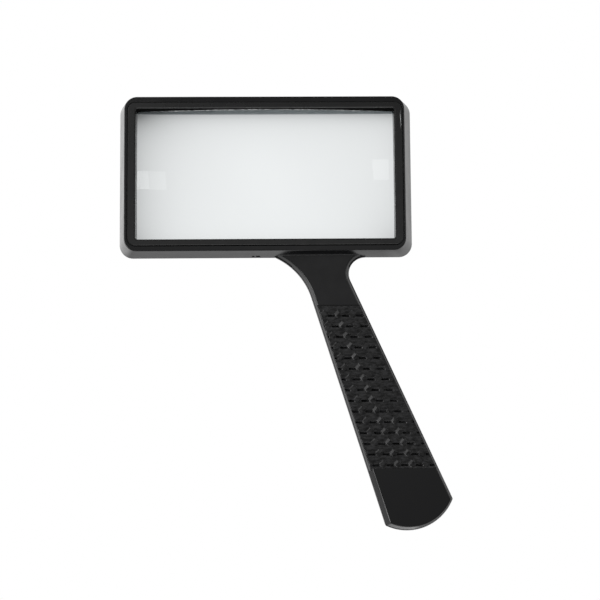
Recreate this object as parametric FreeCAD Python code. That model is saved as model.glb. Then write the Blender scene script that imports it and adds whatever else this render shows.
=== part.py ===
import FreeCAD, Part
import os
from math import cos, radians, sin, sqrt, tan

# Rectangular magnifying glass: a thick glass lens in a flared frame, with a slanted flat handle.
# Millimetres. The origin is on the lens axis in the plane of the rear rim, which the object lies on.
# +X runs along the long side of the frame, +Y away from the handle, +Z out of the front of the lens.

# ---- frame ----
FRAME_DEPTH = 13.2
REAR_SIZE = (115.7, 63.0)
REAR_CORNER = 5.4
FRONT_SIZE = (108.4, 60.2)
FRONT_CORNER = 4.9
FRONT_SHIFT = -0.18
FRONT_EDGE_ROUND = 0.4
REAR_EDGE_ROUND = 0.5
APERTURE = (100.1, 51.0)
REAR_APERTURE = (101.0, 50.6)
APERTURE_CORNER = 0.9

# ---- lens and its seat ----
LENS_SIZE = (102.4, 53.0)
LENS_CORNER = 2.0
LENS_RADIUS = 320.0
LENS_FRONT = 12.2
LENS_THICKNESS = 11.4
POCKET_GAP = 0.2
GASKET_THICKNESS = 0.4
SLEEVE_THICKNESS = 0.3
LIP_THICKNESS = 1.2
LIP_WIDTH = 2.2
CONTACT_GAP = 0.02

# ---- front retaining ring ----
BEZEL_SIZE = (106.3, 55.8)
BEZEL_CORNER = 3.0
BEZEL_FLANGE = 1.6
BEZEL_PROUD = 0.12
BEZEL_OUTER_ROUND = 0.3
BEZEL_INNER_ROUND = 0.6
BEZEL_GAP = 0.25
REBATE_DROP = 0.12
CLIP_WIDTH = 6.0
CLIP_REACH = 0.7
CLIP_HEIGHT = 0.9
CLIP_DROP = 0.4

# ---- handle outline ----
HANDLE_ANGLE = 21.0
HANDLE_TAPER = 3.5
ROOT = FreeCAD.Vector(20.5, -REAR_SIZE[1] / 2, 0)
ROOT_HALF_WIDTH = 7.55
BUTT_CENTRE = 93.25
BUTT_RADIUS = 19.3
BUTT_CORNER = 1.0
INNER_NECK_RADIUS = 26.4
INNER_NECK_DROP = 23.9
OUTER_NECK_RADIUS = 6.6
ROOT_OVERLAP = 1.6

# ---- handle section ----
HANDLE_FACE = 5.6
PARTING = 2.6
SHELL_GAP = 0.04
STEP_AT_PARTING = 0.35
FACE_INSET = 1.3
BUTT_INSET = 1.5
BUTT_SHIFT = 0.45
BACK_TOP_ROUND = 0.4
BACK_EDGE_ROUND = 0.6
NECK_EDGE_ROUND = 0.5
BUTT_EDGE_ROUND = 0.45
ROOT_ROUND = 0.5
COVER_TOP = -35.5
COVER_GAP = 0.1
SHELL_WALL = 1.7
FRONT_WEB = 3.6
BACK_WEB = 1.7
RIB_WIDTH = 1.2
RIB_PITCH = 15.0

# ---- grip pads ----
PAD_TOP = -51.1
PAD_END = -113.8
PAD_GAP = 0.08
PAD_TOP_GAP = 0.5
FRONT_PAD_DEPTH = 0.9
FRONT_PAD_PROUD = 0.15
FRONT_PAD_SIDE = 0.22
REAR_PAD_DEPTH = 0.7
REAR_PAD_MARGIN = 1.3
ROW_PITCH = 4.13
FIRST_ROW = 3.7
ROW_COUNT = 15
DASH_PITCH = 5.54
DASH_SHIFT = 1.55
DASH_LENGTH = 3.0
SHORTEST_DASH = 1.3
DASH_WIDTH = 0.7
DASH_DEPTH = 0.4
DASHES_EACH_SIDE = 3
DASH_MARGIN = 0.6

# ---- two small dents low in the frame's side above the neck of the handle, the second one wider ----
DENT_PLACES = (-5.0, -3.45, -2.85)
DENT_RADIUS = 0.5
DENT_LOW = 2.2
DENT_HIGH = 4.4

# ---- screws: one in the neck and two in the butt, as distance along the handle and offset across ----
SCREW_PLACES = ((14.5, 0.0), (98.5, -7.5), (98.5, 7.5))
HEAD_DIAMETER = 4.0
HEAD_HEIGHT = 1.0
HEAD_RECESS = 0.25
HEAD_ROUND = 0.4
COUNTERBORE_DIAMETER = 4.5
SHANK_DIAMETER = 2.0
SHANK_END = 4.2
SCREW_CLEARANCE = 0.1
BOSS_DIAMETER = 5.6
CROSS_LENGTH = 2.2
CROSS_WIDTH = 0.5
CROSS_DEPTH = 0.6

Z = FreeCAD.Vector(0, 0, 1)
TALL = 40.0
WIDE = 300.0


# ------------------------------------------------------------------ shared shapes
def rounded_rectangle(size, corner, z):
    """Closed outline of a rectangle with round corners, centred on the lens axis."""
    half_x, half_y = size[0] / 2, size[1] / 2
    diagonal = corner * (1 - sqrt(0.5))
    edges = []
    for sx, sy, turn in ((1, 1, 1), (-1, 1, -1), (-1, -1, 1), (1, -1, -1)):
        on_x = FreeCAD.Vector(sx * half_x, sy * (half_y - corner), z)
        on_y = FreeCAD.Vector(sx * (half_x - corner), sy * half_y, z)
        middle = FreeCAD.Vector(sx * (half_x - diagonal), sy * (half_y - diagonal), z)
        first, last = (on_x, on_y) if turn > 0 else (on_y, on_x)
        if edges:
            edges.append(Part.makeLine(edges[-1].Vertexes[-1].Point, first))
        edges.append(Part.Arc(first, middle, last).toShape())
    edges.append(Part.makeLine(edges[-1].Vertexes[-1].Point, edges[0].Vertexes[0].Point))
    return Part.Wire(edges)


def rectangle_prism(size, corner, z_low, z_high):
    face = Part.Face(rounded_rectangle(size, corner, z_low))
    return face.extrude(Z * (z_high - z_low))


def grown(size, by):
    """A length and height made larger by the same amount on every side."""
    return (size[0] + 2 * by, size[1] + 2 * by)


def ball(centre_z, radius):
    return Part.makeSphere(radius, FreeCAD.Vector(0, 0, centre_z))


def rear_ball(offset):
    """Ball whose lower skin is the rear surface of the lens, moved outward by the offset."""
    apex = LENS_FRONT - LENS_THICKNESS
    return ball(apex + LENS_RADIUS, LENS_RADIUS + offset)


def front_ball(offset):
    """Ball whose upper skin is the front surface of the lens, moved outward by the offset."""
    return ball(LENS_FRONT - LENS_RADIUS, LENS_RADIUS + offset)


def band(y_low, y_high, z_low, z_high):
    """Box across the whole object between two heights in Y and in Z."""
    corner = FreeCAD.Vector(-WIDE / 2, y_low, z_low)
    return Part.makeBox(WIDE, y_high - y_low, z_high - z_low, corner)


def outline_edges(shape, z, y_low=-WIDE):
    """Edges of the shape that lie at one height in Z, above a place in Y."""
    close = 1e-4
    found = []
    for edge in shape.Edges:
        box = edge.BoundBox
        if abs(box.ZMin - z) < close and abs(box.ZMax - z) < close and box.YMin > y_low:
            found.append(edge)
    return found


def side_edges(shape, z):
    """Edges along the sides and butt of the handle at one height in Z, without the cuts across it."""
    return [e for e in outline_edges(shape, z) if e.BoundBox.YLength > 1 and e.BoundBox.YMin < ROOT.y]


# ------------------------------------------------------------------ handle outline
def direction(degrees):
    """Unit vector pointing down the handle, turned from -Y towards +X."""
    return FreeCAD.Vector(sin(radians(degrees)), -cos(radians(degrees)), 0)


def handle_point(along, across, z=0.0):
    axis = direction(HANDLE_ANGLE)
    side = FreeCAD.Vector(-axis.y, axis.x, 0)
    place = ROOT + axis * along + side * across
    return FreeCAD.Vector(place.x, place.y, z)


def edge_line(side, inset):
    """Point, direction and outward normal of one straight edge of the handle."""
    along = direction(HANDLE_ANGLE + side * HANDLE_TAPER)
    outward = FreeCAD.Vector(-along.y, along.x, 0) * side
    start = handle_point(0, side * ROOT_HALF_WIDTH) - outward * inset
    return start, along, outward


def neck_centre(side, radius, y):
    """Centre of a neck curve that is tangent to the outside of one straight edge."""
    start, along, outward = edge_line(side, 0)
    place = start + outward * radius
    return place + along * ((y - place.y) / along.y)


def butt_corner(side, inset):
    """Tangent points and middle of the small round between one edge and the end curve."""
    centre = handle_point(BUTT_CENTRE, 0)
    start, along, outward = edge_line(side, inset)
    reach = (start - centre).dot(outward) - BUTT_CORNER
    radius = BUTT_RADIUS - inset
    small = centre + outward * reach + along * sqrt((radius - BUTT_CORNER) ** 2 - reach**2)
    away = (small - centre).normalize()
    middle = small + (away + outward).normalize() * BUTT_CORNER
    return small + outward * BUTT_CORNER, middle, centre + away * radius


def handle_outline(inset, z):
    """Closed outline of the handle, moved inward by the inset; its top end lies inside the frame."""
    top = ROOT.y + ROOT_OVERLAP
    inner = neck_centre(-1, INNER_NECK_RADIUS, ROOT.y - INNER_NECK_DROP)
    outer = neck_centre(1, OUTER_NECK_RADIUS, ROOT.y - OUTER_NECK_RADIUS)
    inner_radius = INNER_NECK_RADIUS + inset
    outer_radius = OUTER_NECK_RADIUS + inset

    inner_normal = edge_line(-1, inset)[2] * -1
    inner_top = inner + FreeCAD.Vector(sqrt(inner_radius**2 - (top - inner.y) ** 2), top - inner.y, 0)
    inner_foot = inner + inner_normal * inner_radius
    inner_middle = inner + ((inner_top - inner).normalize() + inner_normal).normalize() * inner_radius

    outer_normal = edge_line(1, inset)[2] * -1
    outer_top = outer + FreeCAD.Vector(0, outer_radius, 0)
    outer_foot = outer + outer_normal * outer_radius
    outer_middle = outer + (outer_normal + FreeCAD.Vector(0, 1, 0)).normalize() * outer_radius

    left_line, left_middle, left_arc = butt_corner(-1, inset)
    right_line, right_middle, right_arc = butt_corner(1, inset)
    butt_end = handle_point(BUTT_CENTRE + BUTT_RADIUS - inset, 0)
    shoulder = FreeCAD.Vector(outer_top.x, top, 0)

    edges = [
        Part.Arc(inner_top, inner_middle, inner_foot).toShape(),
        Part.makeLine(inner_foot, left_line),
        Part.Arc(left_line, left_middle, left_arc).toShape(),
        Part.Arc(left_arc, butt_end, right_arc).toShape(),
        Part.Arc(right_arc, right_middle, right_line).toShape(),
        Part.makeLine(right_line, outer_foot),
        Part.Arc(outer_foot, outer_middle, outer_top).toShape(),
        Part.makeLine(outer_top, shoulder),
        Part.makeLine(shoulder, inner_top),
    ]
    wire = Part.Wire(edges)
    wire.translate(Z * z)
    return wire


def handle_slab(low_inset, z_low, high_inset, z_high):
    """Solid between two handle outlines, with straight sloping sides."""
    wires = [handle_outline(low_inset, z_low), handle_outline(high_inset, z_high)]
    return Part.makeLoft(wires, True, True)


def side_inset(z):
    """Inset of the sloping side of the front half at a height."""
    share = (z - PARTING) / (HANDLE_FACE - PARTING)
    return STEP_AT_PARTING + share * (FACE_INSET - STEP_AT_PARTING)


def cylinder_at(place, diameter, z_low, z_high):
    base = handle_point(place[0], place[1], z_low)
    return Part.makeCylinder(diameter / 2, z_high - z_low, base)


def handle_ribs(z_low, z_high):
    """Straight ribs across the handle, parallel to the long side of the frame."""
    ribs = []
    y = COVER_TOP - RIB_PITCH
    while y > PAD_END - RIB_WIDTH:
        ribs.append(band(y - RIB_WIDTH / 2, y + RIB_WIDTH / 2, z_low, z_high))
        y -= RIB_PITCH
    return ribs


def handle_cavity(z_low, z_high, extra_inset):
    """Hollow inside the handle, interrupted by ribs and by the screw bosses."""
    inset = extra_inset + SHELL_WALL
    cavity = handle_slab(inset, z_low, inset, z_high)
    cavity = cavity.common(band(-WIDE / 2, COVER_TOP - SHELL_WALL, z_low, z_high))
    solid_places = handle_ribs(z_low, z_high)
    solid_places += [cylinder_at(place, BOSS_DIAMETER, z_low, z_high) for place in SCREW_PLACES]
    return cavity.cut(solid_places)


# ------------------------------------------------------------------ sub-parts
def frame_body():
    """Flared frame: stepped pocket for ring, lens and gasket, thin curved lip, recess, two small dents."""
    wires = [rounded_rectangle(REAR_SIZE, REAR_CORNER, 0)]
    wires.append(rounded_rectangle(FRONT_SIZE, FRONT_CORNER, FRAME_DEPTH))
    wires[1].translate(FreeCAD.Vector(FRONT_SHIFT, 0, 0))
    body = Part.makeLoft(wires, True, True)
    body = body.makeFillet(FRONT_EDGE_ROUND, outline_edges(body, FRAME_DEPTH))
    body = body.makeFillet(REAR_EDGE_ROUND, outline_edges(body, 0))
    rebate_floor = FRAME_DEPTH - BEZEL_FLANGE - CONTACT_GAP
    rebate = rectangle_prism(
        grown(BEZEL_SIZE, BEZEL_GAP), BEZEL_CORNER + BEZEL_GAP, rebate_floor, TALL
    )
    rebate.translate(FreeCAD.Vector(0, -REBATE_DROP, 0))
    pocket_size = grown(LENS_SIZE, POCKET_GAP)
    pocket = rectangle_prism(pocket_size, LENS_CORNER + POCKET_GAP, 0, TALL)
    seat = pocket.common(rear_ball(GASKET_THICKNESS))
    opening = rectangle_prism(REAR_APERTURE, APERTURE_CORNER, -1, TALL)
    recess_size = grown(REAR_APERTURE, LIP_WIDTH)
    recess = rectangle_prism(recess_size, APERTURE_CORNER + LIP_WIDTH, -1, FRAME_DEPTH)
    recess = recess.cut(rear_ball(GASKET_THICKNESS + LIP_THICKNESS))
    slope = (REAR_SIZE[1] - FRONT_SIZE[1]) / (2 * FRAME_DEPTH)
    dent_y = slope * (DENT_LOW + DENT_HIGH) / 2 - REAR_SIZE[1] / 2
    dents = []
    for x in DENT_PLACES:
        foot = FreeCAD.Vector(x, dent_y, DENT_LOW)
        dents.append(Part.makeCylinder(DENT_RADIUS, DENT_HIGH - DENT_LOW, foot))
    return body.cut([rebate, seat, opening, recess] + clip_blocks(BEZEL_GAP) + dents)


def clip_blocks(gap):
    """Small blocks on the ring's skirt that snap into the pocket walls, grown by the gap."""
    half_x = LENS_SIZE[0] / 2
    half_y = LENS_SIZE[1] / 2
    top = FRAME_DEPTH - BEZEL_FLANGE - CLIP_DROP
    height = CLIP_HEIGHT + 2 * gap
    reach = CLIP_REACH + gap
    width = CLIP_WIDTH + 2 * gap
    blocks = []
    for sign in (-1, 1):
        x_low = half_x - POCKET_GAP if sign > 0 else -half_x - reach
        corner = FreeCAD.Vector(x_low, -width / 2, top - height + gap)
        blocks.append(Part.makeBox(reach + POCKET_GAP, width, height, corner))
    return blocks


def handle_front():
    """Front half of the handle: sloping sides, rounded face edges, trough for the pad, bosses."""
    blank = handle_slab(STEP_AT_PARTING, PARTING, FACE_INSET, HANDLE_FACE)
    trough_floor = HANDLE_FACE - FRONT_PAD_DEPTH - PAD_GAP
    neck = blank.common(band(PAD_TOP + PAD_TOP_GAP, WIDE / 2, 0, TALL))
    neck = neck.makeFillet(NECK_EDGE_ROUND, side_edges(neck, HANDLE_FACE))
    butt_face = handle_outline(BUTT_INSET, HANDLE_FACE)
    butt_face.translate(handle_point(0, BUTT_SHIFT) - ROOT)
    butt = Part.makeLoft([handle_outline(STEP_AT_PARTING, PARTING), butt_face], True, True)
    butt = butt.common(band(-WIDE / 2, PAD_END - PAD_GAP, 0, TALL))
    butt = butt.makeFillet(BUTT_EDGE_ROUND, side_edges(butt, HANDLE_FACE))
    middle = blank.common(band(PAD_END - 1, PAD_TOP + 1, 0, trough_floor))
    root = handle_slab(0, 0, 0, PARTING).common(band(COVER_TOP, WIDE / 2, -1, TALL))
    root = root.makeFillet(BACK_EDGE_ROUND, side_edges(root, 0))
    holes = [
        cylinder_at(place, SHANK_DIAMETER + SCREW_CLEARANCE, PARTING - 1, SHANK_END + SCREW_CLEARANCE)
        for place in SCREW_PLACES
    ]
    cavity = handle_cavity(PARTING - 1, FRONT_WEB, FACE_INSET)
    return neck.fuse([butt, middle]).cut([cavity] + holes).fuse(root)


def front_shell():
    """Frame and front half of the handle, moulded in one piece."""
    frame = frame_body()
    opening = rectangle_prism(grown(APERTURE, 1), LENS_CORNER, -1, TALL)
    shell = frame.fuse(handle_front().cut(opening)).removeSplitter()
    corner = outline_edges(shell, HANDLE_FACE, y_low=ROOT.y)
    return shell.makeFillet(ROOT_ROUND, corner)


def handle_back():
    """Rear half of the handle: flat plate with a rim, counterbored for the screws."""
    body = handle_slab(0, 0, 0, PARTING - SHELL_GAP)
    body = body.common(band(-WIDE / 2, COVER_TOP - COVER_GAP, -1, TALL))
    body = body.makeFillet(BACK_EDGE_ROUND, side_edges(body, 0))
    body = body.makeFillet(BACK_TOP_ROUND, side_edges(body, PARTING - SHELL_GAP))
    trough = handle_slab(REAR_PAD_MARGIN - PAD_GAP, -1, REAR_PAD_MARGIN - PAD_GAP, REAR_PAD_DEPTH + PAD_GAP)
    trough = trough.common(band(PAD_END - PAD_GAP, PAD_TOP + PAD_GAP, -1, TALL))
    holes = []
    for place in SCREW_PLACES:
        holes.append(cylinder_at(place, COUNTERBORE_DIAMETER, -1, HEAD_RECESS + HEAD_HEIGHT))
        holes.append(cylinder_at(place, SHANK_DIAMETER + SCREW_CLEARANCE, 0, PARTING + 1))
    cavity = handle_cavity(BACK_WEB, PARTING + 1, 0)
    return body.cut([trough, cavity] + holes).removeSplitter()


def lens():
    """Biconvex plate cut to a rectangle with round corners."""
    blank = rectangle_prism(LENS_SIZE, LENS_CORNER, 0, LENS_FRONT)
    return blank.common(front_ball(0)).common(rear_ball(0))


def lens_gasket():
    """Thin soft ring that follows the rear surface of the lens and lines the rear opening."""
    inside = grown(REAR_APERTURE, -SLEEVE_THICKNESS)
    ring = rectangle_prism(LENS_SIZE, LENS_CORNER, 0, FRAME_DEPTH)
    ring = ring.common(rear_ball(GASKET_THICKNESS - CONTACT_GAP))
    sleeve_size = grown(REAR_APERTURE, -CONTACT_GAP)
    sleeve = rectangle_prism(sleeve_size, APERTURE_CORNER - CONTACT_GAP, 0, FRAME_DEPTH)
    sleeve = sleeve.common(rear_ball(GASKET_THICKNESS + LIP_THICKNESS))
    hole = rectangle_prism(inside, APERTURE_CORNER - SLEEVE_THICKNESS, -1, TALL)
    return ring.fuse(sleeve).cut([hole, rear_ball(CONTACT_GAP)]).removeSplitter()


def lens_bezel():
    """Front ring: a flange in the rebate and a skirt whose underside follows the lens."""
    top = FRAME_DEPTH + BEZEL_PROUD
    flange = rectangle_prism(BEZEL_SIZE, BEZEL_CORNER, FRAME_DEPTH - BEZEL_FLANGE, top)
    skirt = rectangle_prism(LENS_SIZE, LENS_CORNER, 0, FRAME_DEPTH - BEZEL_FLANGE)
    body = flange.fuse([skirt] + clip_blocks(0))
    body = body.cut(rectangle_prism(APERTURE, APERTURE_CORNER, -1, TALL))
    top_edges = outline_edges(body, top)
    outer = [e for e in top_edges if edge_reach(e) > 1]
    inner = [e for e in top_edges if edge_reach(e) <= 1]
    body = body.makeFillet(BEZEL_OUTER_ROUND, outer)
    body = body.makeFillet(BEZEL_INNER_ROUND, matching_edges(body, inner))
    around_lens = rectangle_prism(grown(LENS_SIZE, POCKET_GAP), LENS_CORNER + POCKET_GAP, 0, TALL)
    return body.cut(around_lens.common(front_ball(CONTACT_GAP))).removeSplitter()


def edge_reach(edge):
    """How far an edge's middle lies outside the aperture."""
    middle = edge.valueAt((edge.FirstParameter + edge.LastParameter) / 2)
    return max(abs(middle.x) - APERTURE[0] / 2, abs(middle.y) - APERTURE[1] / 2)


def matching_edges(shape, wanted):
    """Edges of the shape with the same centres as the wanted ones."""
    centres = [edge.CenterOfMass for edge in wanted]
    return [e for e in shape.Edges if min((e.CenterOfMass - c).Length for c in centres) < 1e-3]


def dash(left, right, y, z_low, z_high):
    """Short round-ended groove along X, between two ends."""
    radius = DASH_WIDTH / 2
    start, end = left + radius, right - radius
    low_start = FreeCAD.Vector(start, y - radius, z_low)
    low_end = FreeCAD.Vector(end, y - radius, z_low)
    high_start = FreeCAD.Vector(start, y + radius, z_low)
    high_end = FreeCAD.Vector(end, y + radius, z_low)
    edges = [
        Part.makeLine(low_start, low_end),
        Part.Arc(low_end, FreeCAD.Vector(right, y, z_low), high_end).toShape(),
        Part.makeLine(high_end, high_start),
        Part.Arc(high_start, FreeCAD.Vector(left, y, z_low), low_start).toShape(),
    ]
    return Part.Face(Part.Wire(edges)).extrude(Z * (z_high - z_low))


def edge_x(side, inset, y):
    """Where one straight edge of the handle, moved inward by the inset, crosses a height in Y."""
    start, along, outward = edge_line(side, inset)
    return start.x + along.x * (y - start.y) / along.y


def grip_dashes(inset, z_low, z_high):
    """Rows of dashes parallel to the frame; each row is shifted along the slant of the handle."""
    dashes = []
    for row in range(ROW_COUNT):
        y = PAD_TOP - FIRST_ROW - row * ROW_PITCH
        left_limit = edge_x(-1, inset + DASH_MARGIN, y)
        right_limit = edge_x(1, inset + DASH_MARGIN, y)
        middle = ROOT.x + (ROOT.y - y) * tan(radians(HANDLE_ANGLE)) + DASH_SHIFT
        for column in range(-DASHES_EACH_SIDE, DASHES_EACH_SIDE + 1):
            x = middle + column * DASH_PITCH
            left = max(x - DASH_LENGTH / 2, left_limit)
            right = min(x + DASH_LENGTH / 2, right_limit)
            if right - left > SHORTEST_DASH:
                dashes.append(dash(left, right, y, z_low, z_high))
    return dashes


def front_grip_pad():
    """Full-width textured pad that lies in the trough of the front half."""
    z_low = HANDLE_FACE - FRONT_PAD_DEPTH
    z_high = HANDLE_FACE + FRONT_PAD_PROUD
    low_inset = side_inset(z_low) - FRONT_PAD_SIDE
    high_inset = side_inset(z_high) - FRONT_PAD_SIDE
    pad = handle_slab(low_inset, z_low, high_inset, z_high)
    pad = pad.common(band(PAD_END, PAD_TOP, z_low, z_high))
    return pad.cut(grip_dashes(high_inset, z_high - DASH_DEPTH, TALL))


def rear_grip_pad():
    """Textured pad set into the rear half, inside a plain margin."""
    pad = handle_slab(REAR_PAD_MARGIN, 0, REAR_PAD_MARGIN, REAR_PAD_DEPTH)
    pad = pad.common(band(PAD_END, PAD_TOP, 0, REAR_PAD_DEPTH))
    return pad.cut(grip_dashes(REAR_PAD_MARGIN, -1, DASH_DEPTH))


def handle_screw(place):
    """Pan-head screw with a cross recess, driven in from the rear."""
    head = cylinder_at(place, HEAD_DIAMETER, HEAD_RECESS, HEAD_RECESS + HEAD_HEIGHT)
    head = head.makeFillet(HEAD_ROUND, outline_edges(head, HEAD_RECESS))
    shank = cylinder_at(place, SHANK_DIAMETER, HEAD_RECESS, SHANK_END)
    centre = handle_point(place[0], place[1], HEAD_RECESS)
    cuts = []
    for size_x, size_y in ((CROSS_LENGTH, CROSS_WIDTH), (CROSS_WIDTH, CROSS_LENGTH)):
        corner = centre - FreeCAD.Vector(size_x / 2, size_y / 2, 1)
        cuts.append(Part.makeBox(size_x, size_y, 1 + CROSS_DEPTH, corner))
    return head.fuse(shank).cut(cuts).removeSplitter()


def handle_screws():
    return Part.makeCompound([handle_screw(place) for place in SCREW_PLACES])


SUB_PARTS = {
    "front_shell": front_shell,
    "handle_back": handle_back,
    "lens": lens,
    "lens_gasket": lens_gasket,
    "lens_bezel": lens_bezel,
    "front_grip_pad": front_grip_pad,
    "rear_grip_pad": rear_grip_pad,
    "handle_screws": handle_screws,
}

os.makedirs("parts", exist_ok=True)
for name, build in SUB_PARTS.items():
    shape = build()
    shape.exportStep(os.path.join("parts", name + ".step"))
    box = shape.BoundBox
    print(name, len(shape.Solids), shape.isValid(), round(shape.Volume, 1), box)
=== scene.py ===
from math import cos, pi, radians, sin, sqrt

import bpy
import numpy as np
from mathutils import Matrix, Vector


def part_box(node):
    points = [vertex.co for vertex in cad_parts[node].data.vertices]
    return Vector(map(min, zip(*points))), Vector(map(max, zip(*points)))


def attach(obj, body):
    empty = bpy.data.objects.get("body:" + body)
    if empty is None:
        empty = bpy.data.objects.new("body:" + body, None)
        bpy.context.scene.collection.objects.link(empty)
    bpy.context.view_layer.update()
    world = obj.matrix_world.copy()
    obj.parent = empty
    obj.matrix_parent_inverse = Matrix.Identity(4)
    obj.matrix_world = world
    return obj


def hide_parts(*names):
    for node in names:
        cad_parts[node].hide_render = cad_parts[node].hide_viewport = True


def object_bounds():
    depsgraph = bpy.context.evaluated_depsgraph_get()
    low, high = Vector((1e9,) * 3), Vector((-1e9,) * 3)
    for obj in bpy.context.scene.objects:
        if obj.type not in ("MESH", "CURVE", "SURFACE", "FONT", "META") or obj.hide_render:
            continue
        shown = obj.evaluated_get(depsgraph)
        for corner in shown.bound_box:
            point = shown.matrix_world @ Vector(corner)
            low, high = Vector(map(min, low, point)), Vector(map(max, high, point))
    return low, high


MM = 0.001
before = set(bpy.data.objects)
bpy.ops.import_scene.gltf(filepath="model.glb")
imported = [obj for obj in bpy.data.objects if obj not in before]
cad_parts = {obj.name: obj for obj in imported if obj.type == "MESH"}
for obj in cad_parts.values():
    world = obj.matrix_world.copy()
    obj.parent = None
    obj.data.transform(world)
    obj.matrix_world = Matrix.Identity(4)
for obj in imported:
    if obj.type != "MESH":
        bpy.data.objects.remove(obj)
cad_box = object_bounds()


# ------------------------------------------------------------------ node helpers
def new_material(name):
    """Empty material and its node tree, with the output node ready to link."""
    material = bpy.data.materials.new(name)
    material.use_nodes = True
    tree = material.node_tree
    tree.nodes.clear()
    return material, tree


def node(tree, kind, inputs=None, **settings):
    """Adds a node. Inputs are given by name or number, as plain values or as sockets to link."""
    made = tree.nodes.new("ShaderNode" + kind)
    for key, value in settings.items():
        setattr(made, key, value)
    for key, value in (inputs or {}).items():
        if isinstance(value, bpy.types.NodeSocket):
            tree.links.new(value, made.inputs[key])
        else:
            made.inputs[key].default_value = value
    return made


def math(tree, operation, first, second=0.0):
    """Result of a math operation on values or sockets."""
    return node(tree, "Math", {0: first, 1: second}, operation=operation).outputs[0]


def remap(tree, value, from_low, from_high, to_low, to_high):
    """Straight rescale from one range of values to another, held at its ends."""
    inputs = {
        "Value": value,
        "From Min": from_low,
        "From Max": from_high,
        "To Min": to_low,
        "To Max": to_high,
    }
    return node(tree, "MapRange", inputs).outputs[0]


def millimetres(tree, stretch=(1, 1, 1), turn=0.0):
    """Object coordinates in millimetres, optionally stretched and turned about Z."""
    place = node(tree, "TexCoord").outputs["Object"]
    scale = tuple(1000 * s for s in stretch)
    inputs = {"Vector": place, "Rotation": (0, 0, radians(turn)), "Scale": scale}
    return node(tree, "Mapping", inputs).outputs[0]


def noise(tree, place, size, detail=2.0, roughness=0.5):
    """Noise from 0 to 1 with features of about the given size in millimetres."""
    inputs = {"Vector": place, "Scale": 1 / size, "Detail": detail, "Roughness": roughness}
    return node(tree, "TexNoise", inputs).outputs["Fac"]


def bump(tree, height, depth, normal=None):
    """Bump of a height from 0 to 1 that stands for a depth in millimetres."""
    inputs = {"Height": height, "Distance": depth * MM, "Strength": 1.0}
    if normal is not None:
        inputs["Normal"] = normal
    return node(tree, "Bump", inputs).outputs[0]


def edge_mask(tree, radius):
    """1 along sharp edges within a radius in millimetres, 0 on open faces."""
    soft = node(tree, "Bevel", {"Radius": radius * MM}, samples=6).outputs[0]
    sharp = node(tree, "NewGeometry").outputs["Normal"]
    agree = node(tree, "VectorMath", {0: soft, 1: sharp}, operation="DOT_PRODUCT").outputs["Value"]
    return remap(tree, agree, 0.995, 0.9, 0.0, 1.0)


def scratches(tree, turn, spacing):
    """Thin straight rub marks that run one way, 1 on a mark and 0 elsewhere."""
    place = millimetres(tree, (1.0, 0.03, 1.0), turn)
    lines = noise(tree, place, spacing, 3.0, 0.6)
    marks = remap(tree, lines, 0.66, 0.72, 0.0, 1.0)
    patches = remap(tree, noise(tree, millimetres(tree), 9.0), 0.45, 0.65, 0.0, 1.0)
    return math(tree, "MULTIPLY", marks, patches)


# ------------------------------------------------------------------ materials
SOFT_EDGE = 0.12
WORN_EDGE = 0.35
PLASTIC_IOR = 1.5
GLASS_IOR = 1.52


def moulded_plastic(name, colour, roughness, grain_size, grain_depth, mottle=0.0, painted_wall_shade=False):
    """Black moulded plastic: fine mould grain, slight sink waviness, rub marks and paler worn edges.

    Mottle adds uneven tone in short level streaks. Optionally, upright faces turned towards the handle lose
    their gloss and go near-black: painted shade that stands for the shadow on the inner wall above the lens.
    """
    material, tree = new_material(name)
    place = millimetres(tree)
    grain = noise(tree, place, grain_size, 3.0)
    waves = noise(tree, place, 14.0, 1.0)
    rubs = math(tree, "MAXIMUM", scratches(tree, 35, 0.35), scratches(tree, -62, 0.5))
    clouds = noise(tree, place, 6.0, 4.0)
    edges = math(tree, "MULTIPLY", edge_mask(tree, WORN_EDGE), remap(tree, clouds, 0.35, 0.7, 0.2, 1.0))
    shine = remap(tree, clouds, 0.3, 0.7, roughness * 0.85, roughness * 1.2)
    shine = math(tree, "ADD", shine, math(tree, "MULTIPLY", rubs, 0.12))
    shine = math(tree, "ADD", shine, math(tree, "MULTIPLY", edges, 0.08))
    pale = tuple(min(1.0, 2.2 * c + 0.004) for c in colour)
    tint = node(tree, "Mix", {0: edges, 6: (*colour, 1), 7: (*pale, 1)}, data_type="RGBA").outputs[2]
    streaks = noise(tree, millimetres(tree, (0.4, 1, 1)), 0.8, 3.0, 0.7)
    uneven = remap(tree, streaks, 0.38, 0.62, 1 - mottle, 1 + mottle)
    level = node(tree, "CombineColor", {0: uneven, 1: uneven, 2: uneven}).outputs[0]
    tint = node(tree, "Mix", {0: 1.0, 6: tint, 7: level}, data_type="RGBA", blend_type="MULTIPLY").outputs[2]
    normal = node(tree, "Bevel", {"Radius": SOFT_EDGE * MM}, samples=6).outputs[0]
    normal = bump(tree, waves, 0.03, normal)
    normal = bump(tree, rubs, 0.001, normal)
    normal = bump(tree, grain, grain_depth, normal)
    inputs = {"Base Color": tint, "Roughness": shine, "IOR": PLASTIC_IOR, "Normal": normal}
    shader = node(tree, "BsdfPrincipled", inputs).outputs[0]
    if painted_wall_shade:
        # Painted shade: the far inner wall above the lens turns near-black without gloss, where the real wall
        # lies in shadow.
        facing = node(tree, "SeparateXYZ", {0: node(tree, "NewGeometry").outputs["True Normal"]}).outputs
        upright = remap(tree, math(tree, "ABSOLUTE", facing[2]), 0.37, 0.2, 0.0, 1.0)
        far_wall_shade_mask = math(tree, "MULTIPLY", upright, remap(tree, facing[1], -0.15, -0.35, 0.0, 1.0))
        painted_shade_black = node(tree, "BsdfDiffuse", {"Color": (0.008, 0.008, 0.008, 1)}).outputs[0]
        shader = node(tree, "MixShader", {0: far_wall_shade_mask, 1: shader, 2: painted_shade_black}).outputs[0]
    node(tree, "OutputMaterial", {"Surface": shader})
    return material


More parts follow.
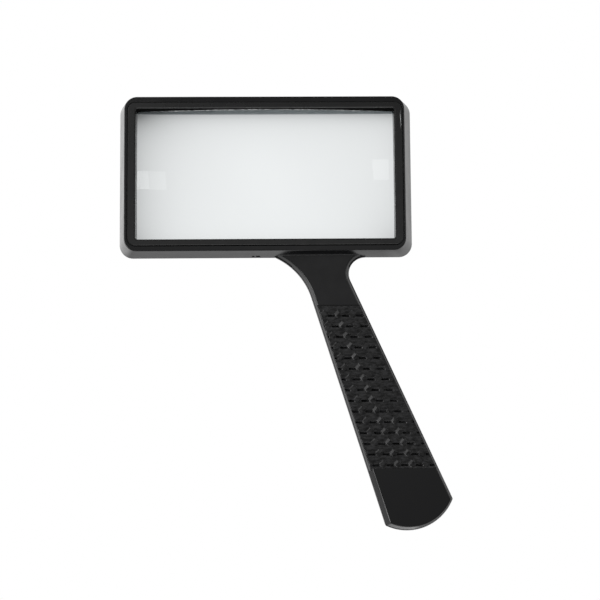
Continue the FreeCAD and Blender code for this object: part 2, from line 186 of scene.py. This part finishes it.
def lens_glass():
    """Clear glass with polished faces and ground, whitish edges."""
    material, tree = new_material("lens_glass")
    normal = node(tree, "NewGeometry").outputs["True Normal"]
    up = node(tree, "SeparateXYZ", {0: normal}).outputs[2]
    polished = remap(tree, math(tree, "ABSOLUTE", up), 0.5, 0.75, 0.0, 1.0)
    clear = node(tree, "BsdfPrincipled", {
        "Base Color": (0.94, 0.965, 0.97, 1),
        "Roughness": 0.0,
        "IOR": GLASS_IOR,
        "Transmission Weight": 1.0,
    }).outputs[0]
    grit = bump(tree, noise(tree, millimetres(tree), 0.12, 3.0), 0.02)
    ground = node(tree, "BsdfPrincipled", {
        "Base Color": (0.75, 0.8, 0.8, 1),
        "Roughness": 0.55,
        "IOR": GLASS_IOR,
        "Transmission Weight": 0.35,
        "Normal": grit,
    }).outputs[0]
    surface = node(tree, "MixShader", {0: polished, 1: ground, 2: clear}).outputs[0]
    see_through = node(tree, "BsdfTransparent", {"Color": (0.88, 0.91, 0.92, 1)}).outputs[0]
    is_shadow = node(tree, "LightPath").outputs["Is Shadow Ray"]
    pass_light = math(tree, "MULTIPLY", is_shadow, polished)
    surface = node(tree, "MixShader", {0: pass_light, 1: surface, 2: see_through}).outputs[0]
    node(tree, "OutputMaterial", {"Surface": surface})
    return material


def silicone():
    """Pale translucent sealing ring."""
    material, tree = new_material("gasket_rubber")
    grain = bump(tree, noise(tree, millimetres(tree), 0.25, 3.0), 0.02)
    tone = noise(tree, millimetres(tree), 3.0, 3.0)
    colour = node(tree, "Mix", {0: tone, 6: (0.3, 0.32, 0.33, 1), 7: (0.5, 0.52, 0.53, 1)}, data_type="RGBA")
    inputs = {"Base Color": colour.outputs[2], "Roughness": 0.5, "Normal": grain}
    shader = node(tree, "BsdfPrincipled", inputs).outputs[0]
    node(tree, "OutputMaterial", {"Surface": shader})
    return material


def plated_steel():
    """Bright plated steel with fine turning marks and dull spots."""
    material, tree = new_material("screw_steel")
    turning = noise(tree, millimetres(tree, (1, 1, 6)), 0.3, 3.0)
    shine = remap(tree, noise(tree, millimetres(tree), 0.8, 4.0), 0.3, 0.7, 0.18, 0.42)
    inputs = {
        "Base Color": (0.62, 0.62, 0.61, 1),
        "Metallic": 1.0,
        "Roughness": shine,
        "Normal": bump(tree, turning, 0.01),
    }
    shader = node(tree, "BsdfPrincipled", inputs).outputs[0]
    node(tree, "OutputMaterial", {"Surface": shader})
    return material


def dress(name, material):
    """Gives a CAD node its finish."""
    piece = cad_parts[name]
    piece.data.materials.clear()
    piece.data.materials.append(material)


shell_plastic = moulded_plastic("frame_plastic", (0.0045, 0.0045, 0.005), 0.2, 0.5, 0.002)
bezel_plastic = moulded_plastic("bezel_plastic", (0.0085, 0.0086, 0.0088), 0.28, 0.4, 0.004, painted_wall_shade=True)
grip_plastic = moulded_plastic("grip_plastic", (0.0138, 0.0138, 0.0143), 0.24, 0.3, 0.003, mottle=0.9)

dress("front_shell", shell_plastic)
dress("handle_back", shell_plastic)
dress("lens_bezel", bezel_plastic)
dress("lens_gasket", silicone())
dress("handle_screws", plated_steel())


# ------------------------------------------------------------------ moulded grip texture
ROW_PITCH = 4.13
FIRST_ROW = 3.7
ROW_COUNT = 15
DASH_PITCH = 5.54
ROW_SHIFT = 1.585
FIRST_DASH = 2.6
DASH_HALF = (1.5, 0.35)
DASH_DEPTH = 0.85
DASH_BLUNTNESS = 0.6
STRAND_TURN = 48.0
STRAND_FOOT = (2.15, 1.1)
STRAND_RAMP = 0.6
STRAND_BACK = 2.3
STRAND_HALF = (0.9, 1.5)
STRAND_HEIGHT = 0.43
MOST_WEAR = 0.75
WORN_LEFT = (0.0, 0.45)
WORN_RIGHT = (0.5, 0.64)
FULL_FROM = (0.6, 0.82)
FULL_SHIFT = 0.24
SWELL_CENTRE = (0.3, 2.1)
SWELL_HALF = (2.3, 1.5)
SWELL_HEIGHT = 0.12
QUIET_MARGIN = 0.7
THINNEST = 0.1


def ramp(low, high, value):
    return np.clip((value - low) / (high - low), 0.0, 1.0)


def smooth_ramp(low, high, value):
    share = ramp(low, high, value)
    return share * share * (3 - 2 * share)


def weave(x, y, wear):
    """Height in millimetres of the woven texture at places measured from one dash of the first row.

    Wear, from 0 to 1, cuts the tops of the strands down.
    """
    height = np.zeros_like(x)
    holes = np.zeros_like(x)
    turn = radians(STRAND_TURN)
    for row in range(-1, ROW_COUNT):
        near = np.abs(y + row * ROW_PITCH) < 1.2 * ROW_PITCH
        dy = y[near] + row * ROW_PITCH
        dx = x[near] - row * ROW_SHIFT
        dx = dx - DASH_PITCH * np.floor(dx / DASH_PITCH)
        for shift in (0, DASH_PITCH):
            across = dx - shift
            off_x, off_y = across - STRAND_FOOT[0], dy - STRAND_FOOT[1]
            along = off_x * cos(turn) + off_y * sin(turn)
            side = off_x * sin(turn) - off_y * cos(turn)
            strand = ramp(-STRAND_RAMP, STRAND_RAMP, side) * (1 - smooth_ramp(STRAND_RAMP, STRAND_BACK, side))
            strand *= 1 - smooth_ramp(*STRAND_HALF, np.abs(along))
            reach_x = (across - SWELL_CENTRE[0]) / SWELL_HALF[0]
            reach_y = (dy - SWELL_CENTRE[1]) / SWELL_HALF[1]
            swell = np.clip(1 - (reach_x**2 + reach_y**2), 0, 1) ** 2
            height[near] = np.maximum(height[near], STRAND_HEIGHT * np.minimum(strand, 1 - wear[near]))
            height[near] = np.maximum(height[near], SWELL_HEIGHT * swell)
            if row >= 0:
                past_end = np.maximum(np.abs(across) - (DASH_HALF[0] - DASH_HALF[1]), 0)
                gap = np.hypot(past_end, dy) - DASH_HALF[1]
                holes[near] = np.maximum(holes[near], (1 - ramp(-DASH_HALF[1], 0.05, gap)) ** DASH_BLUNTNESS)
    return height * (1 - holes) - DASH_DEPTH * holes


def pad_corners(name, top):
    """Left and right ends of the upper and lower edges of a pad's outer face, in millimetres."""
    points = np.array([v.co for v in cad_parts[name].data.vertices]) / MM
    face = points[np.abs(points[:, 2] - top) < 0.01]
    ends = []
    for y in (face[:, 1].max(), face[:, 1].min()):
        xs = face[np.abs(face[:, 1] - y) < 0.01][:, 0]
        ends.append((xs.min(), xs.max(), y))
    return ends


def woven_pad(name, outward, step, margin, sunk=0.0):
    """Grip pad with a plain back and the woven texture on its outer face, worn to its sides and upper end.

    The face can be sunk, so that the tops of the strands end level with the CAD face.
    """
    low, high = (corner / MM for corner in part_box(name))
    top, bottom = (high.z, low.z) if outward > 0 else (low.z, high.z)
    (left_up, right_up, y_up), (left_low, right_low, y_low) = pad_corners(name, top)
    rows = int((y_up - y_low) / step) + 1
    columns = int((right_low - left_low) / step) + 1
    t, s = np.meshgrid(np.linspace(0, 1, rows), np.linspace(0, 1, columns), indexing="ij")
    left = left_up + (left_low - left_up) * t
    width = (right_up + (right_low - right_up) * t) - left
    x = left + width * s
    y = y_up + (y_low - y_up) * t
    axis_x = (left_up + right_up) / 2
    from_right = s - FULL_SHIFT * smooth_ramp(*FULL_FROM, t)
    wear = MOST_WEAR * (1 - smooth_ramp(*WORN_LEFT, s) * (1 - smooth_ramp(*WORN_RIGHT, from_right)))
    height = weave(x - axis_x - FIRST_DASH, y - (y_up - FIRST_ROW), wear)
    to_side = np.minimum(s, 1 - s) * width
    to_end = np.minimum(y_up - y, y - y_low)
    height *= smooth_ramp(0.0, margin, to_side) * smooth_ramp(0.0, QUIET_MARGIN, to_end)
    height = np.maximum(height - sunk, THINNEST - (high.z - low.z))
    z = top + outward * height
    points = np.stack([x, y, z], -1).reshape(-1, 3)
    index = np.arange(rows * columns).reshape(rows, columns)
    quads = np.stack([index[:-1, :-1], index[1:, :-1], index[1:, 1:], index[:-1, 1:]], -1).reshape(-1, 4)
    rim = np.concatenate([index[0, :-1], index[:-1, -1], index[-1, :0:-1], index[:0:-1, 0]])
    foot = points[rim].copy()
    foot[:, 2] = bottom
    foot_index = np.arange(len(points), len(points) + len(rim))
    walls = np.stack([rim, np.roll(rim, -1), np.roll(foot_index, -1), foot_index], -1)
    faces = [tuple(f) for f in quads] + [tuple(f) for f in walls] + [tuple(foot_index[::-1])]
    if outward < 0:
        faces = [f[::-1] for f in faces]
    mesh = bpy.data.meshes.new(name + "_woven")
    mesh.from_pydata((np.concatenate([points, foot]) * MM).tolist(), [], faces)
    mesh.validate()
    mesh.shade_smooth()
    mesh.set_sharp_from_angle(angle=radians(50))
    return add_piece(mesh, grip_plastic, name)


def add_piece(mesh, material, stands_for):
    """Puts a mesh on the object in place of a CAD node."""
    mesh.materials.append(material)
    piece = bpy.data.objects.new(mesh.name, mesh)
    bpy.context.scene.collection.objects.link(piece)
    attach(piece, "root")
    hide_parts(stands_for)
    return piece


front_pad = woven_pad("front_grip_pad", 1, 0.14, 0.2)
woven_pad("rear_grip_pad", -1, 0.2, 0.5, sunk=STRAND_HEIGHT)


# ------------------------------------------------------------------ polished lens
LENS_RADIUS = 320.0
LENS_CORNER = 2.0
LENS_RINGS = 40
CORNER_STEPS = 8
EDGE_STEPS = (72, 40)
GROUND_BEVEL = 0.22


def lens_outline(half_x, half_y, corner):
    """Points and outward directions around a rectangle with round corners, anticlockwise."""
    places, normals = [], []
    centres = ((1, 1, 0), (-1, 1, 90), (-1, -1, 180), (1, -1, 270))
    for number, (sx, sy, start) in enumerate(centres):
        middle = np.array([sx * (half_x - corner), sy * (half_y - corner)])
        for step in range(CORNER_STEPS + 1):
            angle = radians(start + 90 * step / CORNER_STEPS)
            out = np.array([cos(angle), sin(angle)])
            places.append(middle + out * corner)
            normals.append(out)
        next_x, next_y, _ = centres[(number + 1) % 4]
        follow = np.array([next_x * (half_x - corner), next_y * (half_y - corner)]) + out * corner
        count = EDGE_STEPS[number % 2]
        for step in range(1, count):
            places.append(places[-1] + (follow - middle - out * corner) / count)
            normals.append(out)
    return np.array(places), np.array(normals)


def polished_lens():
    """Biconvex lens with truly spherical faces, finely ground sides and a small irregular bevel."""
    low, high = (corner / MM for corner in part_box("lens"))
    outline, normals = lens_outline(high.x, high.y, LENS_CORNER)
    count = len(outline)
    wobble = np.random.default_rng(7).normal(0, 1, count)
    wobble = (wobble + np.roll(wobble, 1) + np.roll(wobble, -1)) / 3
    bevel = GROUND_BEVEL * (1 + 0.3 * np.clip(wobble, -1.5, 2.5))[:, None]
    inner = outline - normals * bevel

    def front(place):
        return high.z - LENS_RADIUS + np.sqrt(LENS_RADIUS**2 - (place**2).sum(-1))

    def rear(place):
        return low.z + LENS_RADIUS - np.sqrt(LENS_RADIUS**2 - (place**2).sum(-1))

    shares = np.linspace(0, 1, LENS_RINGS + 1)[1:] ** 0.8
    loops = [np.column_stack([inner * share, front(inner * share)]) for share in shares]
    loops.append(np.column_stack([outline, front(inner) - bevel[:, 0]]))
    loops.append(np.column_stack([outline, rear(inner) + bevel[:, 0]]))
    loops += [np.column_stack([inner * share, rear(inner * share)]) for share in shares[::-1]]
    points = np.concatenate([[[0, 0, high.z]]] + loops + [[[0, 0, low.z]]])
    faces = []
    following = (np.arange(count) + 1) % count
    for ring in range(len(loops) - 1):
        a, b = 1 + ring * count, 1 + (ring + 1) * count
        for here, there in enumerate(following):
            faces.append((a + here, b + here, b + there, a + there))
    last = 1 + (len(loops) - 1) * count
    for here, there in enumerate(following):
        faces.append((0, 1 + here, 1 + there))
        faces.append((last + there, last + here, len(points) - 1))
    mesh = bpy.data.meshes.new("polished_lens")
    mesh.from_pydata((points * MM).tolist(), [], faces)
    mesh.validate()
    mesh.shade_smooth()
    mesh.set_sharp_from_angle(angle=radians(25))
    return add_piece(mesh, lens_glass(), "lens")


glass = polished_lens()


# ------------------------------------------------------------------ cement beads around the lens
BEAD_STEPS = 260
BEAD_SPAN = 46.0
BEAD_WIDTH = (0.1, 0.34)
BEAD_SECTION = ((-1.0, 0.0), (-0.55, 0.32), (0.0, 0.9), (0.12, 0.9), (0.12, -0.2), (-1.0, -0.2))
SMEAR_STEPS = 40
SMEAR_ENDS = (17.5, 24.6)
SMEAR_THICKEST = 21.6
SMEAR_HALF_WIDTH = 0.15
SMEAR_INSET = 0.6
SMEAR_SECTION = ((-1.0, -0.1), (-0.7, 0.3), (0.0, 0.45), (0.7, 0.3), (1.0, -0.1))


def uneven(rng, count, smooth):
    """Random row of numbers about zero, smoothed over some of its neighbours."""
    return np.convolve(rng.normal(0, 1, count + 2 * smooth), np.ones(smooth) / smooth, "same")[smooth:-smooth]


def bead_mesh(sections):
    """Points and faces of a closed strip through equal rings of points."""
    around = len(sections[0])
    points = [point for section in sections for point in section]
    faces = []
    for step in range(len(sections) - 1):
        for side in range(around):
            here, there = step * around + side, step * around + (side + 1) % around
            faces.append((here, there, there + around, here + around))
    faces.append(tuple(range(around))[::-1])
    faces.append(tuple(range(len(points) - around, len(points))))
    return points, faces


def far_bead(low, high):
    """Thin uneven bead in the corner between the lens and the ring, on the far long side."""
    opening = high.y - 1.0
    rng = np.random.default_rng(11)
    x = np.linspace(-BEAD_SPAN, BEAD_SPAN, BEAD_STEPS)
    share = np.clip(0.45 + 0.35 * uneven(rng, BEAD_STEPS, 4) + 1.3 * uneven(rng, BEAD_STEPS, 21), 0, 1)
    width = BEAD_WIDTH[0] + (BEAD_WIDTH[1] - BEAD_WIDTH[0]) * share
    width *= 1 - 0.7 * smooth_ramp(0.75 * BEAD_SPAN, BEAD_SPAN, np.abs(x))
    sections = []
    for place, size in zip(x, width):
        surface = high.z - LENS_RADIUS + sqrt(LENS_RADIUS**2 - place**2 - opening**2)
        section = [(place, opening + across * size, surface + up * size) for across, up in BEAD_SECTION]
        sections.append(section)
    return bead_mesh(sections)


def seam_smear():
    """Short smear on the ring just inside its seam, near the far right corner."""
    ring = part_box("lens_bezel")[1] / MM
    rng = np.random.default_rng(5)
    y = np.linspace(*SMEAR_ENDS, SMEAR_STEPS)
    shape = smooth_ramp(SMEAR_ENDS[0], SMEAR_THICKEST, y)
    shape *= 1 - smooth_ramp(SMEAR_THICKEST, SMEAR_ENDS[1], y)
    width = SMEAR_HALF_WIDTH * (0.15 + 0.85 * shape) * (1 + 0.25 * uneven(rng, SMEAR_STEPS, 3))
    drift = 0.12 * uneven(rng, SMEAR_STEPS, 5)
    sections = []
    for place, size, off in zip(y, width, drift):
        middle = ring.x - SMEAR_INSET + off
        sections.append([(middle + across * size, place, ring.z + up * size) for across, up in SMEAR_SECTION])
    return bead_mesh(sections)


def cement_beads():
    """Set cement around the lens: a bead along its far edge and a smear on the seam of the ring."""
    points, faces = far_bead(*(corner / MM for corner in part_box("lens")))
    more_points, more_faces = seam_smear()
    faces += [tuple(len(points) + index for index in face) for face in more_faces]
    mesh = bpy.data.meshes.new("lens_cement")
    mesh.from_pydata([tuple(MM * value for value in point) for point in points + more_points], [], faces)
    mesh.validate()
    mesh.materials.append(cement())
    piece = bpy.data.objects.new("lens_cement", mesh)
    bpy.context.scene.collection.objects.link(piece)
    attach(piece, "root")


def cement():
    """Set clear cement: whitish, uneven in tone, half glossy."""
    material, tree = new_material("lens_cement")
    place = millimetres(tree)
    tone = remap(tree, noise(tree, place, 1.2, 4.0), 0.35, 0.65, 0.0, 1.0)
    colours = {0: tone, 6: (0.08, 0.085, 0.09, 1), 7: (0.6, 0.61, 0.61, 1)}
    colour = node(tree, "Mix", colours, data_type="RGBA").outputs[2]
    grain = bump(tree, noise(tree, place, 0.2, 3.0), 0.03)
    shine = remap(tree, tone, 0, 1, 0.2, 0.5)
    inputs = {"Base Color": colour, "Roughness": shine, "Normal": grain}
    shader = node(tree, "BsdfPrincipled", inputs).outputs[0]
    node(tree, "OutputMaterial", {"Surface": shader})
    return material


cement_beads()


# ------------------------------------------------------------------ floor, lights and camera
FLOOR_DROP = 0.0004
FLOOR_SIZE = 6.0
OPENING_HALF = (50.0, 25.3)
OPEN_SHADE = 0.952
HANDLE_SLANT = 0.386
STUDIO_CENTRE = (0.02, -0.06, 0.0)
LIGHT_DISTANCE = 1.1
GLOW_DIRECTION = (0.02, 0.1, 0.99)
STUDIO_BRIGHTNESS = 0.7


def pale_floor():
    """Plain pale floor that the object lies on, seen from above only.

    It glows by itself and shows three levels. It is plain white to the camera. Mirrored in the gloss it
    carries
    painted shade and light: dimmer near the object, darkest right of the handle where the handle's shadow
    falls, brighter beyond the frame's sides and along the handle's left side. Through the lens it carries a
    soft painted shade that stands for the one that the frame throws on it.
    """
    material, tree = new_material("floor_white")
    place = millimetres(tree)
    x = node(tree, "SeparateXYZ", {0: place}).outputs[0]
    y = node(tree, "SeparateXYZ", {0: place}).outputs[1]

    def near(distance, fade, depth):
        """1 far from a wall, less close to it."""
        power = math(tree, "DIVIDE", math(tree, "MULTIPLY", math(tree, "MAXIMUM", distance, 0.0), -1.0), fade)
        return math(tree, "SUBTRACT", 1.0, math(tree, "MULTIPLY", math(tree, "EXPONENT", power), depth))

    def corner_distance(across, along, squeeze):
        """Distance from a corner of the opening, squeezed along its long side."""
        across = math(tree, "MULTIPLY", across, squeeze)
        across_squared = math(tree, "MULTIPLY", across, across)
        along_squared = math(tree, "MULTIPLY", along, along)
        return math(tree, "SQRT", math(tree, "ADD", across_squared, along_squared))

    half_x, half_y = OPENING_HALF
    from_left, from_right = math(tree, "ADD", x, half_x), math(tree, "SUBTRACT", half_x, x)
    from_top, from_bottom = math(tree, "SUBTRACT", half_y, y), math(tree, "ADD", y, half_y)
    falls = [near(distance, fade, depth) for distance, fade, depth in (
        (from_left, 10.5, 0.34),
        (from_right, 2.9, 0.05),
        (from_right, 14.0, 0.09),
        (from_top, 2.2, 0.36),
        (from_top, 8.5, 0.13),
        (from_bottom, 2.2, 0.13),
    )]
    falls.append(near(corner_distance(from_left, from_top, 0.6), 5.2, 0.53))
    falls.append(near(corner_distance(from_left, from_bottom, 1.0), 5.0, 0.13))
    falls.append(near(corner_distance(from_right, from_bottom, 1.0), 8.0, 0.22))
    shade = OPEN_SHADE
    for fall in falls:
        shade = math(tree, "MULTIPLY", shade, fall)
    # Painted shade and light for the floor as the gloss reflects it: dimmer near the object, darkest right of
    # the handle where its shadow falls, brighter beyond the frame's sides and close along the handle's left
    # side.
    painted_far_left_light = remap(tree, x, -66.0, -57.0, 0.6, 0.0)
    painted_level_by_frame = math(tree, "MAXIMUM", remap(tree, x, 46.0, 60.0, 0.43, 0.7), painted_far_left_light)
    painted_level_by_frame = math(tree, "MAXIMUM", painted_level_by_frame, remap(tree, x, -52.0, -58.0, 0.0, 1.05))
    off_axis = math(tree, "ADD", x, math(tree, "MULTIPLY", y, HANDLE_SLANT))
    painted_level_by_handle = remap(tree, off_axis, 3.0, 11.0, 0.48, 0.3)
    from_handle = math(tree, "SUBTRACT", math(tree, "ADD", 2.5, math(tree, "MULTIPLY", y, 0.07)), off_axis)
    painted_light_by_handle = math(tree, "SUBTRACT", 1.0, near(from_handle, 3.0, 0.7))
    on_left = remap(tree, off_axis, 3.0, 6.0, 1.0, 0.0)
    painted_level_by_handle = math(tree, "ADD", painted_level_by_handle, math(tree, "MULTIPLY", painted_light_by_handle, on_left))
    at_frame = remap(tree, y, -37.0, -33.0, 0.0, 1.0)
    painted_mirror_level = node(tree, "Mix", {0: at_frame, 2: painted_level_by_handle, 3: painted_level_by_frame}).outputs[0]
    path = node(tree, "LightPath").outputs
    level = node(tree, "Mix", {0: path["Is Transmission Ray"], 2: painted_mirror_level, 3: shade}).outputs[0]
    level = node(tree, "Mix", {0: path["Is Camera Ray"], 2: level, 3: 1.0}).outputs[0]
    white = node(tree, "Emission", {"Color": (1, 1, 1, 1), "Strength": level}).outputs[0]
    gone = node(tree, "BsdfTransparent").outputs[0]
    behind = node(tree, "NewGeometry").outputs["Backfacing"]
    surface = node(tree, "MixShader", {0: behind, 1: white, 2: gone}).outputs[0]
    node(tree, "OutputMaterial", {"Surface": surface})
    mesh = bpy.data.meshes.new("floor")
    half = FLOOR_SIZE / 2
    corners = [(-half, -half, 0), (half, -half, 0), (half, half, 0), (-half, half, 0)]
    mesh.from_pydata(corners, [], [(0, 1, 2, 3)])
    mesh.materials.append(material)
    floor = bpy.data.objects.new("floor", mesh)
    floor.location.z = cad_box[0].z - FLOOR_DROP
    bpy.context.scene.collection.objects.link(floor)


def softbox(name, zenith, azimuth, size, radiance, square_to_frame=False):
    """Rectangular studio light aimed at the object, placed by its direction from it.

    It lies along its circle around the object, or square to the frame as seen from above.
    """
    light = bpy.data.lights.new(name, "AREA")
    light.shape = "RECTANGLE"
    light.size, light.size_y = size
    light.energy = radiance * pi * size[0] * size[1]
    lamp = bpy.data.objects.new(name, light)
    flat = sin(radians(zenith))
    aim = Vector((flat * cos(radians(azimuth)), flat * sin(radians(azimuth)), cos(radians(zenith))))
    upright = Vector((0, 1, 0)) if square_to_frame else Vector((0, 0, 1))
    across = upright.cross(aim).normalized()
    turn = Matrix((across, aim.cross(across), aim)).transposed()
    lamp.matrix_world = Matrix.Translation(Vector(STUDIO_CENTRE) + aim * LIGHT_DISTANCE) @ turn.to_4x4()
    bpy.context.scene.collection.objects.link(lamp)
    return lamp


def flag_off(lamp, pieces):
    """Keeps a light's reflection off some pieces, as a studio flag does."""
    shaded = bpy.data.collections.new(lamp.name + "_flag")
    for piece in pieces:
        shaded.objects.link(piece)
    lamp.light_linking.receiver_collection = shaded
    for member in shaded.collection_objects:
        member.light_linking.link_state = "EXCLUDE"


def aim_only(lamp, piece):
    """Shines a light on one piece only."""
    lit = bpy.data.collections.new(lamp.name + "_aim")
    lit.objects.link(piece)
    lamp.light_linking.receiver_collection = lit


def studio_world(strength):
    """Pale surroundings near the horizon, dark above, dim overhead, with a faint glow above the neck."""
    world = bpy.data.worlds.new("studio")
    bpy.context.scene.world = world
    world.use_nodes = True
    tree = world.node_tree
    tree.nodes.clear()
    direction = node(tree, "TexCoord").outputs["Generated"]
    up = node(tree, "SeparateXYZ", {0: direction}).outputs[2]
    level = remap(tree, up, 0.35, 0.65, 1.0, 0.22)
    level = math(tree, "ADD", level, remap(tree, up, 0.94, 0.985, 0.0, 0.18))
    ends = {0: direction, 1: GLOW_DIRECTION}
    off_centre = node(tree, "VectorMath", ends, operation="DISTANCE").outputs["Value"]
    level = math(tree, "ADD", level, remap(tree, off_centre, 0.02, 0.19, 0.46, 0.0))
    colour = node(tree, "CombineColor", {0: level, 1: level, 2: level}).outputs[0]
    surface = node(tree, "Background", {"Color": colour, "Strength": strength}).outputs[0]
    node(tree, "OutputWorld", {"Surface": surface})


CAMERA_PLACE = (4.9, -84.9, 440.7)
CAMERA_TILT = 4.77
CAMERA_PAN = -1.08
CAMERA_ROLL = -0.45
FIELD_OF_VIEW = 29.93


def camera():
    """Camera above the handle's neck, looking down on the front of the lens."""
    data = bpy.data.cameras.new("camera")
    data.angle = radians(FIELD_OF_VIEW)
    made = bpy.data.objects.new("camera", data)
    turn = Matrix.Rotation(radians(CAMERA_PAN), 4, "Y")
    turn = turn @ Matrix.Rotation(radians(CAMERA_TILT), 4, "X")
    turn = turn @ Matrix.Rotation(radians(CAMERA_ROLL), 4, "Z")
    made.matrix_world = Matrix.Translation(Vector(CAMERA_PLACE) * MM) @ turn
    data.clip_start, data.clip_end = 0.01, 20
    bpy.context.scene.collection.objects.link(made)
    bpy.context.scene.camera = made


pale_floor()
studio_world(STUDIO_BRIGHTNESS)
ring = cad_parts["lens_bezel"]
flag_off(softbox("softbox_left", 35, 134, (0.36, 0.34), 1.9), (glass,))
flag_off(softbox("softbox_right", 55, 10, (0.5, 0.6), 1.3), (glass, ring, front_pad))
flag_off(softbox("softbox_side", 62, 190, (0.8, 0.7), 5.0), (glass, ring))
flag_off(softbox("softbox_near", 72, -95, (0.8, 0.3), 1.5), (glass,))
aim_only(softbox("ring_light", 50, -92, (0.9, 1.0), 1.05), ring)
aim_only(softbox("ring_overhead", 5.4, 104, (0.7, 0.44), 0.25, square_to_frame=True), ring)
aim_only(softbox("rim_light", 78, -35, (3.0, 0.45), 8.0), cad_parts["handle_back"])
softbox("panel_bright", 31.8, 29.4, (0.1, 0.08), 2.5, square_to_frame=True)
softbox("panel_faint", 27.5, 34.1, (0.09, 0.08), 1.2, square_to_frame=True)
camera()
scene = bpy.context.scene
scene.view_settings.view_transform = "Standard"
scene.cycles.use_denoising = True
